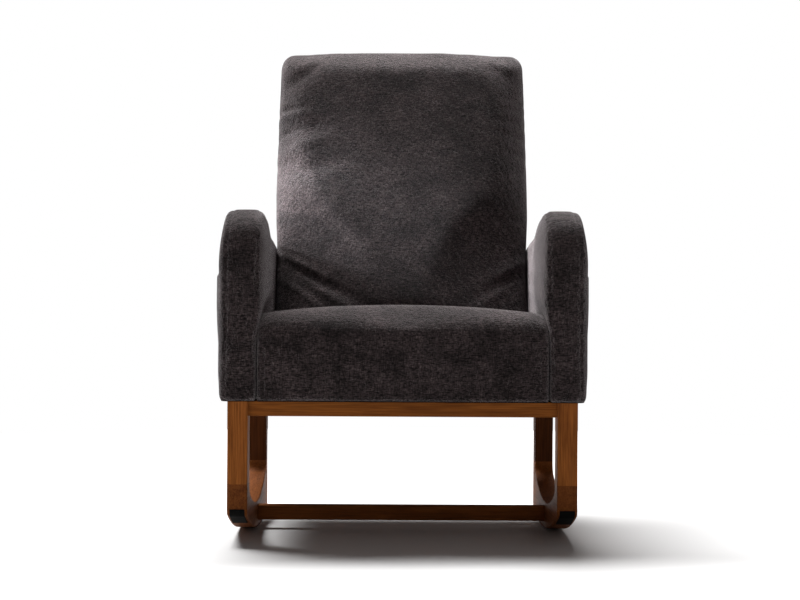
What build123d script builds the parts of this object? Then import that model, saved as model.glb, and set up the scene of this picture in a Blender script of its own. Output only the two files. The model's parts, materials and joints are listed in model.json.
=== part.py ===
"""Upholstered rocking chair: a wooden rocker base that carries a seat, two arms and a high reclined back.

Millimetres, +Z up, the chair faces -Y. The origin is on the floor, at the middle of the chair's outer box.
Left and right are the sitter's, so left is +X. Depths are measured back from the front legs' front face.
"""

import math
import os

from build123d import *

# Whole chair
ARM_OUTER_HALF = 339.0
ARM_THICKNESS = 68.0
BODY_BOTTOM = 270.0
BODY_FRONT = -13.0
RECLINE_DEG = 20.0
FABRIC = 1.6
FIT_GAP = 0.4
BODY_GAP = 0.8

# Rocker base
LEG_WIDTH = 38.0
LEG_DEPTH = 52.0
LEG_INSET = 14.0
LEG_EDGE_ROUND = 3.0
ROCKER_LENGTH = 544.0
ROCKER_RADIUS = 1100.0
ROCKER_CONTACT = 357.0
ROCKER_HOLLOW_HEIGHT = 57.0
ROCKER_TOP_RADIUS = 600.0
ROCKER_JOINT_HEIGHT = 116.0
ROCKER_INNER_ROUND = 23.0
ROCKER_TOE_ROUND = 14.0
APRON_HEIGHT = 28.0
APRON_THICKNESS = 24.0
APRON_SETBACK = 8.0
STRETCHER_HEIGHT = 30.0
STRETCHER_THICKNESS = 24.0
STRETCHER_CENTRE_HEIGHT = 33.0

# Rubber stops under the rocker ends
STOP_WIDTH = 28.0
STOP_LENGTH = 74.0
STOP_THICKNESS = 4.0
STOP_PROUD = 1.6
STOP_RISE = 10.0

# Joinery and fasteners
DOWEL_RADIUS = 5.0
DOWEL_LENGTH = 60.0
DOWEL_PITCH = 24.0
APRON_DOWEL_RADIUS = 4.0
APRON_DOWEL_LENGTH = 40.0
APRON_DOWEL_PITCH = 13.0
BORE_CLEARANCE = 0.06
SCREW_RADIUS = 3.0
SCREW_LENGTH = 80.0
SCREW_HEAD_RADIUS = 5.5
SCREW_HEAD_HEIGHT = 5.0
SCREW_SINK = 2.0
SCREW_PITCH = 14.0
HEX_SOCKET = 4.0
BOLT_RADIUS = 4.0
BOLT_HEAD_RADIUS = 7.0
BOLT_HEAD_HEIGHT = 5.0
BOLT_CLEARANCE = 0.5
WASHER_RADIUS = 9.0
WASHER_THICKNESS = 1.6
TEE_NUT_RADIUS = 5.2
TEE_NUT_LENGTH = 14.0

# Seat
SEAT_TOP = 446.0
SEAT_CREST_DEPTH = 45.0
SEAT_SLOPE_DEG = 5.0
SEAT_CROWN = 16.0
SEAT_FRONT_ROUND = 48.0
SEAT_REAR_ROUND = 14.0
SEAT_RAIL_HEIGHT = 70.0
SEAT_RAIL_THICKNESS = 24.0
CORNER_BLOCK = 46.0
DUST_COVER = 1.0
SEAT_WADDING = 8.0
SPRING_COUNT = 5
SPRING_WIRE_RADIUS = 1.9
SPRING_WIDTH = 44.0
SPRING_PITCH = 24.0
SPRING_PLATE = 1.2
CLIP_LENGTH = 16.0

# Arms
ARM_TOP = 628.0
ARM_CREST_DEPTH = 55.0
ARM_SLOPE_DEG = 5.6
ARM_FRONT_ROUND = 72.0
ARM_REAR_ROUND = 36.0
ARM_REAR_INSET = 12.0
ARM_SOFT_EDGE = 18.0
ARM_PANEL = 18.0
ARM_PANEL_INSET = 14.0
ARM_PANEL_STANDOFF = 3.0
ARM_SILL_HEIGHT = 44.0
ARM_SILL_WIDTH = 30.0
ARM_BOLT_DROP = 13.0
SEAT_BOLT_DEPTHS = (70.0, 330.0)

# Back
BACK_FRONT_DEPTH = 470.0
BACK_FRONT_HEIGHT = 429.0
BACK_THICKNESS = 120.0
BACK_LENGTH = 644.0
BACK_FRONT_ROUND = 55.0
BACK_REAR_ROUND = 30.0
BACK_CORNER_DROP = 34.0
BACK_SOFT_EDGE = 20.0
POST_WIDTH = 25.0
POST_DEPTH = 34.0
POST_FRONT = 60.0
BACK_RAIL_HEIGHT = 50.0
BACK_TOP_MARGIN = 62.0
BACK_BOLT_PLACES = (-45.0, 85.0)
STRAP_WIDTH = 60.0
STRAP_THICKNESS = 1.4
STRAP_COUNT = 5
BACK_PANEL_MARGIN = 9.0
BACK_OPENING_MARGIN = 34.0

# Side pockets
POCKET_DEPTH = 70.0
POCKET_LENGTH = 220.0
POCKET_BOTTOM = 321.0
POCKET_TOP = 507.0
POCKET_GAPE = 20.0
POCKET_FLOOR = 3.0

ARM_INNER_HALF = ARM_OUTER_HALF - ARM_THICKNESS
SEAT_HALF = ARM_INNER_HALF - BODY_GAP
BACK_HALF = ARM_INNER_HALF - BODY_GAP
LEG_OUTER_HALF = ARM_OUTER_HALF - LEG_INSET
LEG_INNER_HALF = LEG_OUTER_HALF - LEG_WIDTH
LEG_CENTRE = LEG_OUTER_HALF - LEG_WIDTH / 2
RECLINE = math.radians(RECLINE_DEG)
SEAT_FRAME_TOP = BODY_BOTTOM + DUST_COVER + SEAT_RAIL_HEIGHT
SIDES = {"left": 1, "right": -1}


def reclined(across, along):
    """A point of the back, across its thickness from the front face and along its slope from seat level."""
    depth = BACK_FRONT_DEPTH + across * math.cos(RECLINE) + along * math.sin(RECLINE)
    height = BACK_FRONT_HEIGHT - across * math.sin(RECLINE) + along * math.cos(RECLINE)
    return depth, height


def along_at(across, height):
    """How far along the back's slope a line at this depth of its thickness reaches this height."""
    return (height - BACK_FRONT_HEIGHT + across * math.sin(RECLINE)) / math.cos(RECLINE)


def rear_reach():
    """The furthest depth of the back: its rounded top rear corner."""
    corner = reclined(BACK_THICKNESS - BACK_REAR_ROUND, BACK_LENGTH - BACK_REAR_ROUND)
    return corner[0] + BACK_REAR_ROUND


# The outer box runs from the front of the arms to the back's top rear corner, and is centred on the origin.
FRONT_Y = -(BODY_FRONT + rear_reach()) / 2


def at(depth):
    """The Y of a depth behind the front legs' front face."""
    return FRONT_Y + depth


def sloped_height(depth, crest_depth, crest_height, slope_deg):
    """The height of a surface that falls to the rear from its crest."""
    return crest_height - (depth - crest_depth) * math.tan(math.radians(slope_deg))


def write(builder, name):
    """Names the finished piece and writes its STEP file."""
    builder.part.label = name
    export_step(builder.part, f"parts/{name}.step")


def side_outline(corners, rounds):
    """A closed outline of straight runs, in depth and height, with some of its corners rounded."""
    with BuildSketch() as outline:
        with BuildLine():
            Polyline([(at(depth), height) for depth, height in corners], close=True)
        make_face()
        for (depth, height), radius in rounds:
            corner = outline.vertices().sort_by_distance((at(depth), height))[0]
            fillet(corner, radius)
    return outline.sketch


os.makedirs("parts", exist_ok=True)


# Rockers: a U in side view, its foot an arc of the rocking radius and its two horns the seats of the legs
HALF_LENGTH = ROCKER_LENGTH / 2


def foot_height(depth):
    """The height of the rocking arc at this depth."""
    return ROCKER_RADIUS - math.sqrt(ROCKER_RADIUS**2 - (depth - ROCKER_CONTACT) ** 2)


def hollow_height(depth):
    """The height of the rocker's hollow upper arc at this depth."""
    rise = ROCKER_TOP_RADIUS - math.sqrt(ROCKER_TOP_RADIUS**2 - (depth - HALF_LENGTH) ** 2)
    return ROCKER_HOLLOW_HEIGHT + rise


HEEL = ROCKER_LENGTH - LEG_DEPTH
with BuildSketch() as rocker_face:
    with BuildLine():
        Polyline(
            (at(LEG_DEPTH), hollow_height(LEG_DEPTH)),
            (at(LEG_DEPTH), ROCKER_JOINT_HEIGHT),
            (at(0), ROCKER_JOINT_HEIGHT),
            (at(0), foot_height(0)),
        )
        ThreePointArc(
            (at(0), foot_height(0)),
            (at(HALF_LENGTH), foot_height(HALF_LENGTH)),
            (at(ROCKER_LENGTH), foot_height(ROCKER_LENGTH)),
        )
        Polyline(
            (at(ROCKER_LENGTH), foot_height(ROCKER_LENGTH)),
            (at(ROCKER_LENGTH), ROCKER_JOINT_HEIGHT),
            (at(HEEL), ROCKER_JOINT_HEIGHT),
            (at(HEEL), hollow_height(HEEL)),
        )
        ThreePointArc(
            (at(HEEL), hollow_height(HEEL)),
            (at(HALF_LENGTH), hollow_height(HALF_LENGTH)),
            (at(LEG_DEPTH), hollow_height(LEG_DEPTH)),
        )
    make_face()
    for depth in (LEG_DEPTH, HEEL):
        inside = rocker_face.vertices().sort_by_distance((at(depth), hollow_height(depth)))[0]
        fillet(inside, ROCKER_INNER_ROUND)
    for depth in (0, ROCKER_LENGTH):
        toe = rocker_face.vertices().sort_by_distance((at(depth), foot_height(depth)))[0]
        fillet(toe, ROCKER_TOE_ROUND)

STOP_BAND = offset(rocker_face.sketch, STOP_PROUD) - offset(rocker_face.sketch, STOP_PROUD - STOP_THICKNESS)
STOP_ENDS = {
    "front": (STOP_LENGTH / 2, foot_height(0) + STOP_RISE),
    "rear": (ROCKER_LENGTH - STOP_LENGTH / 2, foot_height(ROCKER_LENGTH) + STOP_RISE),
}
STOP_DROP = foot_height(0) + STOP_RISE + ROCKER_TOE_ROUND
leg_dowel_points = [
    (side * LEG_CENTRE, at(middle + step * DOWEL_PITCH / 2))
    for side in SIDES.values()
    for middle in (LEG_DEPTH / 2, ROCKER_LENGTH - LEG_DEPTH / 2)
    for step in (-1, 1)
]
screw_heights = [STRETCHER_CENTRE_HEIGHT + step * SCREW_PITCH / 2 for step in (-1, 1)]
SCREW_HEAD_PLANE = LEG_OUTER_HALF - SCREW_SINK

for end, (middle, top) in STOP_ENDS.items():
    with BuildPart() as stops:
        for side in SIDES.values():
            with BuildSketch(Plane.YZ.offset(side * LEG_CENTRE - STOP_WIDTH / 2)):
                add(STOP_BAND)
                with Locations((at(middle), top - STOP_DROP / 2)):
                    Rectangle(STOP_LENGTH + 2 * STOP_PROUD, STOP_DROP, mode=Mode.INTERSECT)
            extrude(amount=STOP_WIDTH)
    write(stops, f"{end}_rocker_stops")

for name, side in SIDES.items():
    inner = min(side * LEG_OUTER_HALF, side * LEG_INNER_HALF)
    with BuildPart() as rocker:
        with BuildSketch(Plane.YZ.offset(inner)):
            add(rocker_face.sketch)
        extrude(amount=LEG_WIDTH)
        long_edges = edges().filter_by(Axis.X, reverse=True).filter_by_position(
            Axis.Z, -1, ROCKER_JOINT_HEIGHT - LEG_EDGE_ROUND
        )
        fillet(long_edges, LEG_EDGE_ROUND)
        for middle, top in STOP_ENDS.values():
            with BuildSketch(Plane.YZ.offset(side * LEG_CENTRE - STOP_WIDTH / 2)):
                add(STOP_BAND)
                with Locations((at(middle), top - STOP_DROP / 2)):
                    Rectangle(STOP_LENGTH + 2 * STOP_PROUD, STOP_DROP, mode=Mode.INTERSECT)
            extrude(amount=STOP_WIDTH, mode=Mode.SUBTRACT)
        with Locations([(x, y, ROCKER_JOINT_HEIGHT) for x, y in leg_dowel_points if x * side > 0]):
            Cylinder(DOWEL_RADIUS + BORE_CLEARANCE, DOWEL_LENGTH, mode=Mode.SUBTRACT)
        head_face = Plane((side * LEG_OUTER_HALF, at(HALF_LENGTH), 0), x_dir=(0, side, 0), z_dir=(side, 0, 0))
        with Locations(*[head_face * Location((0, height, 0)) for height in screw_heights]):
            CounterBoreHole(
                SCREW_RADIUS + BORE_CLEARANCE,
                SCREW_HEAD_RADIUS + BORE_CLEARANCE,
                SCREW_SINK + SCREW_HEAD_HEIGHT,
                LEG_WIDTH,
            )
    write(rocker, f"{name}_rocker")


# Legs: upright blocks dowelled to the rocker horns and to the aprons
def apron_dowel_points():
    """Middle point and direction of each apron dowel: two in each end of each apron."""
    middle_height = BODY_BOTTOM - APRON_HEIGHT / 2
    cross_depths = (APRON_SETBACK + APRON_THICKNESS / 2, ROCKER_LENGTH - APRON_SETBACK - APRON_THICKNESS / 2)
    for side in SIDES.values():
        for step in (-1, 1):
            height = middle_height + step * APRON_DOWEL_PITCH / 2
            for depth in cross_depths:
                yield (side * LEG_INNER_HALF, at(depth), height), Axis.X
            for depth in (LEG_DEPTH, ROCKER_LENGTH - LEG_DEPTH):
                yield (side * LEG_CENTRE, at(depth), height - APRON_DOWEL_RADIUS), Axis.Y


def apron_dowel_solids(radius):
    """The apron dowels, or their bores where the radius is larger, in the open part."""
    mode = Mode.ADD if radius == APRON_DOWEL_RADIUS else Mode.SUBTRACT
    for point, axis in apron_dowel_points():
        turn = (0, 90, 0) if axis == Axis.X else (90, 0, 0)
        with Locations(point):
            Cylinder(radius, APRON_DOWEL_LENGTH, rotation=turn, mode=mode)


LEG_LENGTH = BODY_BOTTOM - ROCKER_JOINT_HEIGHT
LEG_DEPTHS = {"front": LEG_DEPTH / 2, "rear": ROCKER_LENGTH - LEG_DEPTH / 2}
for name, side in SIDES.items():
    for end, middle in LEG_DEPTHS.items():
        with BuildPart() as leg:
            with BuildSketch(Plane.XY.offset(ROCKER_JOINT_HEIGHT)):
                with Locations((side * LEG_CENTRE, at(middle))):
                    RectangleRounded(LEG_WIDTH, LEG_DEPTH, LEG_EDGE_ROUND)
            extrude(amount=LEG_LENGTH)
            apron_dowel_solids(APRON_DOWEL_RADIUS + BORE_CLEARANCE)
            with Locations([(x, y, ROCKER_JOINT_HEIGHT) for x, y in leg_dowel_points]):
                Cylinder(DOWEL_RADIUS + BORE_CLEARANCE, DOWEL_LENGTH, mode=Mode.SUBTRACT)
        write(leg, f"{name}_{end}_leg")

with BuildPart() as leg_dowels:
    with Locations([(x, y, ROCKER_JOINT_HEIGHT) for x, y in leg_dowel_points]):
        Cylinder(DOWEL_RADIUS, DOWEL_LENGTH)
write(leg_dowels, "leg_dowels")


# Aprons: the top frame of the base, set back from the legs' faces
APRON_MIDDLE_HEIGHT = BODY_BOTTOM - APRON_HEIGHT / 2
APRON_DEPTHS = {
    "front": APRON_SETBACK + APRON_THICKNESS / 2,
    "rear": ROCKER_LENGTH - APRON_SETBACK - APRON_THICKNESS / 2,
}
BOLT_DEPTHS = (ROCKER_LENGTH * 0.3, ROCKER_LENGTH * 0.7)
body_bolt_points = [(side * LEG_CENTRE, at(depth)) for side in SIDES.values() for depth in BOLT_DEPTHS]

for end, depth in APRON_DEPTHS.items():
    with BuildPart() as apron:
        with Locations((0, at(depth), APRON_MIDDLE_HEIGHT)):
            Box(2 * LEG_INNER_HALF, APRON_THICKNESS, APRON_HEIGHT)
        fillet(edges().filter_by(Axis.X).group_by(Axis.Z)[0], LEG_EDGE_ROUND)
        apron_dowel_solids(APRON_DOWEL_RADIUS + BORE_CLEARANCE)
    write(apron, f"{end}_apron")

for name, side in SIDES.items():
    with BuildPart() as side_apron:
        with Locations((side * LEG_CENTRE, at(HALF_LENGTH), APRON_MIDDLE_HEIGHT)):
            Box(APRON_THICKNESS, ROCKER_LENGTH - 2 * LEG_DEPTH, APRON_HEIGHT)
        fillet(edges().filter_by(Axis.Y).group_by(Axis.Z)[0], LEG_EDGE_ROUND)
        apron_dowel_solids(APRON_DOWEL_RADIUS + BORE_CLEARANCE)
        with Locations([(x, y, APRON_MIDDLE_HEIGHT) for x, y in body_bolt_points]):
            Cylinder(BOLT_RADIUS + BOLT_CLEARANCE, APRON_HEIGHT, mode=Mode.SUBTRACT)
    write(side_apron, f"{name}_side_apron")

with BuildPart() as apron_dowels:
    apron_dowel_solids(APRON_DOWEL_RADIUS)
write(apron_dowels, "apron_dowels")


# Stretcher: the low bar between the rockers, held by two socket screws at each end
SCREW_TIP = SCREW_HEAD_PLANE - SCREW_HEAD_HEIGHT - SCREW_LENGTH
with BuildPart() as stretcher:
    with Locations((0, at(HALF_LENGTH), STRETCHER_CENTRE_HEIGHT)):
        Box(2 * LEG_INNER_HALF, STRETCHER_THICKNESS, STRETCHER_HEIGHT)
    fillet(edges().filter_by(Axis.X), LEG_EDGE_ROUND)
    for side in SIDES.values():
        for height in screw_heights:
            with Locations((side * (SCREW_TIP + LEG_INNER_HALF) / 2, at(HALF_LENGTH), height)):
                Cylinder(
                    SCREW_RADIUS + BORE_CLEARANCE,
                    LEG_INNER_HALF - SCREW_TIP,
                    rotation=(0, 90, 0),
                    mode=Mode.SUBTRACT,
                )
write(stretcher, "lower_stretcher")

with BuildPart() as screws:
    for side in SIDES.values():
        for height in screw_heights:
            head = Plane(
                (side * SCREW_HEAD_PLANE, at(HALF_LENGTH), height), x_dir=(0, side, 0), z_dir=(side, 0, 0)
            )
            with BuildSketch(head):
                Circle(SCREW_HEAD_RADIUS)
            extrude(amount=-SCREW_HEAD_HEIGHT)
            with BuildSketch(head.offset(-SCREW_HEAD_HEIGHT)):
                Circle(SCREW_RADIUS)
            extrude(amount=-SCREW_LENGTH)
            with BuildSketch(head):
                RegularPolygon(HEX_SOCKET / 2, 6)
            extrude(amount=-SCREW_HEAD_HEIGHT / 2, mode=Mode.SUBTRACT)
write(screws, "stretcher_screws")


# Arms: a plywood panel on a sill, wrapped in padding and a sewn cover with soft edges


def arm_corners(inset, bottom):
    """The arm's side outline, drawn in by an inset everywhere but at its bottom, and its rounded corners."""
    front = BODY_FRONT + inset
    rear_bottom = reclined(
        BACK_THICKNESS - ARM_REAR_INSET - inset, along_at(BACK_THICKNESS - ARM_REAR_INSET - inset, bottom)
    )
    slope = math.tan(math.radians(ARM_SLOPE_DEG))
    crest = ARM_TOP - inset
    lean = math.tan(RECLINE)
    rear_depth = (rear_bottom[0] + lean * (crest + slope * ARM_CREST_DEPTH - bottom)) / (1 + lean * slope)
    front_top = (front, sloped_height(front, ARM_CREST_DEPTH, crest, ARM_SLOPE_DEG))
    rear_top = (rear_depth, sloped_height(rear_depth, ARM_CREST_DEPTH, crest, ARM_SLOPE_DEG))
    corners = [(front, bottom), front_top, rear_top, rear_bottom]
    rounds = [(front_top, ARM_FRONT_ROUND - inset), (rear_top, ARM_REAR_ROUND - inset)]
    return corners, rounds


def arm_form(side, inset, bottom):
    """The arm's padded form shrunk by an inset: full in the middle, soft at both side edges."""
    inner = ARM_INNER_HALF + inset
    outer = ARM_OUTER_HALF - inset
    soft_stations = ((0, 1.0), (0.12, 0.62), (0.35, 0.3), (0.75, 0.09), (1.4, 0.0))
    stations = [(inner + step * ARM_SOFT_EDGE, share) for step, share in soft_stations]
    stations += [(outer - step * ARM_SOFT_EDGE, share) for step, share in reversed(soft_stations)]
    with BuildPart() as form:
        for x, share in stations:
            with BuildSketch(Plane.YZ.offset(side * x)):
                add(side_outline(*arm_corners(inset + share * ARM_SOFT_EDGE, bottom)))
        loft(ruled=True)
    return form.part


PANEL_INNER = ARM_INNER_HALF + FABRIC + FIT_GAP + ARM_PANEL_STANDOFF
PANEL_MIDDLE = PANEL_INNER + ARM_PANEL / 2
SILL_TOP = BODY_BOTTOM + ARM_SILL_HEIGHT
SILL_BOTTOM = BODY_BOTTOM + DUST_COVER
ARM_BOLT_POINTS = [(depth, SEAT_FRAME_TOP - ARM_BOLT_DROP) for depth in SEAT_BOLT_DEPTHS]
ARM_BOLT_POINTS += [reclined(POST_FRONT + POST_DEPTH / 2, along) for along in BACK_BOLT_PLACES]


def arm_bolt_bores(side, radius):
    """Bores for the bolts that hold the seat and the back to this arm, in the open part."""
    with Locations([(side * ARM_INNER_HALF, at(depth), height) for depth, height in ARM_BOLT_POINTS]):
        Cylinder(radius, 4 * ARM_THICKNESS, rotation=(0, 90, 0), mode=Mode.SUBTRACT)


for name, side in SIDES.items():
    with BuildPart() as arm_cover:
        add(arm_form(side, 0, BODY_BOTTOM))
        add(arm_form(side, FABRIC, BODY_BOTTOM - FABRIC), mode=Mode.SUBTRACT)
        with Locations([(side * ARM_INNER_HALF, at(depth), height) for depth, height in ARM_BOLT_POINTS]):
            Cylinder(BOLT_RADIUS + BOLT_CLEARANCE, ARM_PANEL, rotation=(0, 90, 0), mode=Mode.SUBTRACT)
    write(arm_cover, f"{name}_arm_cover")

    panel_plane = Plane.YZ.offset(side * PANEL_MIDDLE)
    with BuildPart() as arm_panel:
        with BuildSketch(panel_plane):
            add(side_outline(*arm_corners(ARM_PANEL_INSET, SILL_TOP)))
        extrude(amount=ARM_PANEL / 2, both=True)
        arm_bolt_bores(side, TEE_NUT_RADIUS)
    write(arm_panel, f"{name}_arm_panel")

    sill_rear = arm_corners(ARM_PANEL_INSET, SILL_TOP)[0][3][0]
    sill_front = BODY_FRONT + ARM_PANEL_INSET
    with BuildPart() as arm_sill:
        with Locations((side * LEG_CENTRE, at((sill_front + sill_rear) / 2), (SILL_BOTTOM + SILL_TOP) / 2)):
            Box(ARM_SILL_WIDTH, sill_rear - sill_front - ARM_PANEL_INSET, SILL_TOP - SILL_BOTTOM)
        with Locations([(x, y, BODY_BOTTOM + ARM_SILL_HEIGHT / 2) for x, y in body_bolt_points]):
            Cylinder(TEE_NUT_RADIUS + BORE_CLEARANCE, ARM_SILL_HEIGHT, mode=Mode.SUBTRACT)
    write(arm_sill, f"{name}_arm_sill")

    with BuildPart() as arm_dust_cover:
        add(arm_form(side, FABRIC + FIT_GAP, BODY_BOTTOM))
        split(bisect_by=Plane.XY.offset(SILL_BOTTOM), keep=Keep.BOTTOM)
        with Locations([(x, y, BODY_BOTTOM) for x, y in body_bolt_points]):
            Cylinder(TEE_NUT_RADIUS + BORE_CLEARANCE, ARM_SILL_HEIGHT, mode=Mode.SUBTRACT)
    write(arm_dust_cover, f"{name}_arm_dust_cover")

    with BuildPart() as arm_foam:
        add(arm_form(side, FABRIC + FIT_GAP, SILL_TOP))
        with BuildSketch(panel_plane):
            add(side_outline(*arm_corners(ARM_PANEL_INSET - FIT_GAP, SILL_TOP - FIT_GAP)))
        extrude(amount=ARM_PANEL / 2 + FIT_GAP, both=True, mode=Mode.SUBTRACT)
        with Locations([(side * ARM_INNER_HALF, at(depth), height) for depth, height in ARM_BOLT_POINTS]):
            Cylinder(BOLT_RADIUS + BOLT_CLEARANCE, ARM_PANEL, rotation=(0, 90, 0), mode=Mode.SUBTRACT)
    write(arm_foam, f"{name}_arm_foam")


# Side pockets: a gathered patch sewn to the arm's outer face along its ends and foot, its mouth standing open
def pocket_form(side, inset, floor, top):
    """The pocket's swelling form, from its floor to its mouth."""
    swell = ((0.0, 0.12), (0.3, 0.72), (0.65, 1.0), (1.0, 0.94))
    face = ARM_OUTER_HALF - inset
    near = POCKET_DEPTH + inset
    far = POCKET_DEPTH + POCKET_LENGTH - inset
    with BuildPart() as form:
        for share, depth_share in swell:
            bulge = ARM_OUTER_HALF + POCKET_GAPE * depth_share - inset
            with BuildSketch(Plane.XY.offset(floor + share * (top - floor))):
                with BuildLine():
                    ThreePointArc(
                        (side * face, at(near)), (side * bulge, at((near + far) / 2)), (side * face, at(far))
                    )
                    Line((side * face, at(far)), (side * face, at(near)))
                make_face()
        loft()
    return form.part


for name, side in SIDES.items():
    with BuildPart() as pocket:
        add(pocket_form(side, 0, POCKET_BOTTOM, POCKET_TOP))
        add(pocket_form(side, FABRIC, POCKET_BOTTOM + POCKET_FLOOR, POCKET_TOP + FABRIC), mode=Mode.SUBTRACT)
    write(pocket, f"{name}_side_pocket")


# Seat: a rail frame with flat zigzag springs, a foam block and a crowned cover open underneath
def seat_corners(inset, bottom, crown):
    """The seat's side outline at one place across its width, and its rounded corners."""
    front = BODY_FRONT + inset
    crest = SEAT_TOP - crown - inset
    rear_gap = BODY_GAP + inset
    rear_bottom = reclined(-rear_gap, along_at(-rear_gap, bottom))
    lean = math.tan(RECLINE)
    slope = math.tan(math.radians(SEAT_SLOPE_DEG))
    rear_depth = (rear_bottom[0] + lean * (crest + slope * SEAT_CREST_DEPTH - bottom)) / (1 + lean * slope)
    front_top = (front, sloped_height(front, SEAT_CREST_DEPTH, crest, SEAT_SLOPE_DEG))
    rear_top = (rear_depth, sloped_height(rear_depth, SEAT_CREST_DEPTH, crest, SEAT_SLOPE_DEG))
    corners = [(front, bottom), front_top, rear_top, rear_bottom]
    return corners, [(front_top, SEAT_FRONT_ROUND - inset), (rear_top, SEAT_REAR_ROUND - inset)]


def seat_form(inset, bottom):
    """The seat's crowned form shrunk by an inset."""
    half = SEAT_HALF - inset
    with BuildPart() as form:
        for share in (-1.0, -0.93, -0.6, 0.0, 0.6, 0.93, 1.0):
            crown = SEAT_CROWN * abs(share) ** 3
            with BuildSketch(Plane.YZ.offset(share * half)):
                add(side_outline(*seat_corners(inset, bottom, crown)))
        loft()
    return form.part


DUST_HALF = SEAT_HALF - FABRIC - FIT_GAP
DUST_FRONT = BODY_FRONT + FABRIC + FIT_GAP
RAIL_HALF = DUST_HALF - SEAT_WADDING
RAIL_FRONT = DUST_FRONT + SEAT_WADDING
RAIL_BOTTOM = BODY_BOTTOM + DUST_COVER
RAIL_MIDDLE = RAIL_BOTTOM + SEAT_RAIL_HEIGHT / 2
DUST_REAR = seat_corners(FABRIC + FIT_GAP, RAIL_BOTTOM, 0)[0][3][0]
RAIL_REAR = DUST_REAR - SEAT_WADDING
CROSS_RAILS = {"front": RAIL_FRONT + SEAT_RAIL_THICKNESS / 2, "rear": RAIL_REAR - SEAT_RAIL_THICKNESS / 2}
SIDE_RAIL_LENGTH = RAIL_REAR - RAIL_FRONT - 2 * SEAT_RAIL_THICKNESS

with BuildPart() as seat_cover:
    add(seat_form(0, BODY_BOTTOM))
    add(seat_form(FABRIC, BODY_BOTTOM - FABRIC), mode=Mode.SUBTRACT)
    for side in SIDES.values():
        with Locations([(side * SEAT_HALF, at(depth), height) for depth, height in ARM_BOLT_POINTS[:2]]):
            Cylinder(BOLT_RADIUS + BOLT_CLEARANCE, ARM_PANEL, rotation=(0, 90, 0), mode=Mode.SUBTRACT)
write(seat_cover, "seat_cover")

with BuildPart() as seat_foam:
    add(seat_form(FABRIC + FIT_GAP, SEAT_FRAME_TOP + 2 * SPRING_WIRE_RADIUS + SPRING_PLATE + FIT_GAP))
write(seat_foam, "seat_foam")

for end, depth in CROSS_RAILS.items():
    with BuildPart() as cross_rail:
        with Locations((0, at(depth), RAIL_MIDDLE)):
            Box(2 * RAIL_HALF, SEAT_RAIL_THICKNESS, SEAT_RAIL_HEIGHT)
    write(cross_rail, f"seat_{end}_rail")

for name, side in SIDES.items():
    with BuildPart() as side_rail:
        middle = side * (RAIL_HALF - SEAT_RAIL_THICKNESS / 2)
        with Locations((middle, at((RAIL_FRONT + RAIL_REAR) / 2), RAIL_MIDDLE)):
            Box(SEAT_RAIL_THICKNESS, SIDE_RAIL_LENGTH, SEAT_RAIL_HEIGHT)
        with Locations([(middle, at(depth), height) for depth, height in ARM_BOLT_POINTS[:2]]):
            Cylinder(
                BOLT_RADIUS + BOLT_CLEARANCE, SEAT_RAIL_THICKNESS, rotation=(0, 90, 0), mode=Mode.SUBTRACT
            )
    write(side_rail, f"seat_{name}_rail")

BLOCK_X = RAIL_HALF - SEAT_RAIL_THICKNESS
BLOCK_ENDS = ((RAIL_FRONT + SEAT_RAIL_THICKNESS, 1), (RAIL_REAR - SEAT_RAIL_THICKNESS, -1))
with BuildPart() as corner_blocks:
    for side in SIDES.values():
        for depth, inward in BLOCK_ENDS:
            with BuildSketch(Plane.XY.offset(RAIL_BOTTOM)):
                with BuildLine():
                    Polyline(
                        (side * BLOCK_X, at(depth)),
                        (side * (BLOCK_X - CORNER_BLOCK), at(depth)),
                        (side * BLOCK_X, at(depth + inward * CORNER_BLOCK)),
                        close=True,
                    )
                make_face()
            extrude(amount=SEAT_RAIL_HEIGHT / 2)
write(corner_blocks, "seat_corner_blocks")

with BuildPart() as dust_cover:
    with Locations((0, at((DUST_FRONT + DUST_REAR) / 2), BODY_BOTTOM + DUST_COVER / 2)):
        Box(2 * DUST_HALF, DUST_REAR - DUST_FRONT, DUST_COVER)
write(dust_cover, "seat_dust_cover")

SPRING_SPACING = 2 * (RAIL_HALF - SEAT_RAIL_THICKNESS) / SPRING_COUNT
SPRING_PLACES = [(place - (SPRING_COUNT - 1) / 2) * SPRING_SPACING for place in range(SPRING_COUNT)]
SPRING_HEIGHT = SEAT_FRAME_TOP + SPRING_WIRE_RADIUS
SPRING_FRONT = CROSS_RAILS["front"]
SPRING_RUNS = int((CROSS_RAILS["rear"] - SPRING_FRONT) // SPRING_PITCH)
SPRING_STEP = (CROSS_RAILS["rear"] - SPRING_FRONT) / SPRING_RUNS


def spring_path():
    """One spring's zigzag about its own line: cross runs joined by half-round ends, in the open line."""
    reach = (SPRING_WIDTH - SPRING_STEP) / 2
    corners = []
    for run in range(SPRING_RUNS + 1):
        turn = 1 if run % 2 else -1
        depth = SPRING_FRONT + run * SPRING_STEP
        corners += [(-turn * reach, at(depth)), (turn * reach, at(depth))]
    for first, second in zip(corners[::2], corners[1::2]):
        Line(first, second)
    for first, second in zip(corners[1:-1:2], corners[2::2]):
        outward = math.copysign(SPRING_STEP / 2, first[0])
        ThreePointArc(first, (first[0] + outward, (first[1] + second[1]) / 2), second)


with BuildPart() as spring:
    with BuildLine(Plane.XY.offset(SPRING_HEIGHT)) as zigzag:
        spring_path()
    start = Plane(zigzag.line @ 0, z_dir=zigzag.line % 0)
    with BuildSketch(start):
        Circle(SPRING_WIRE_RADIUS)
    sweep(path=zigzag.line)
with BuildPart() as seat_springs:
    with Locations([(x, 0, 0) for x in SPRING_PLACES]):
        add(spring.part)
write(seat_springs, "seat_springs")

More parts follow.
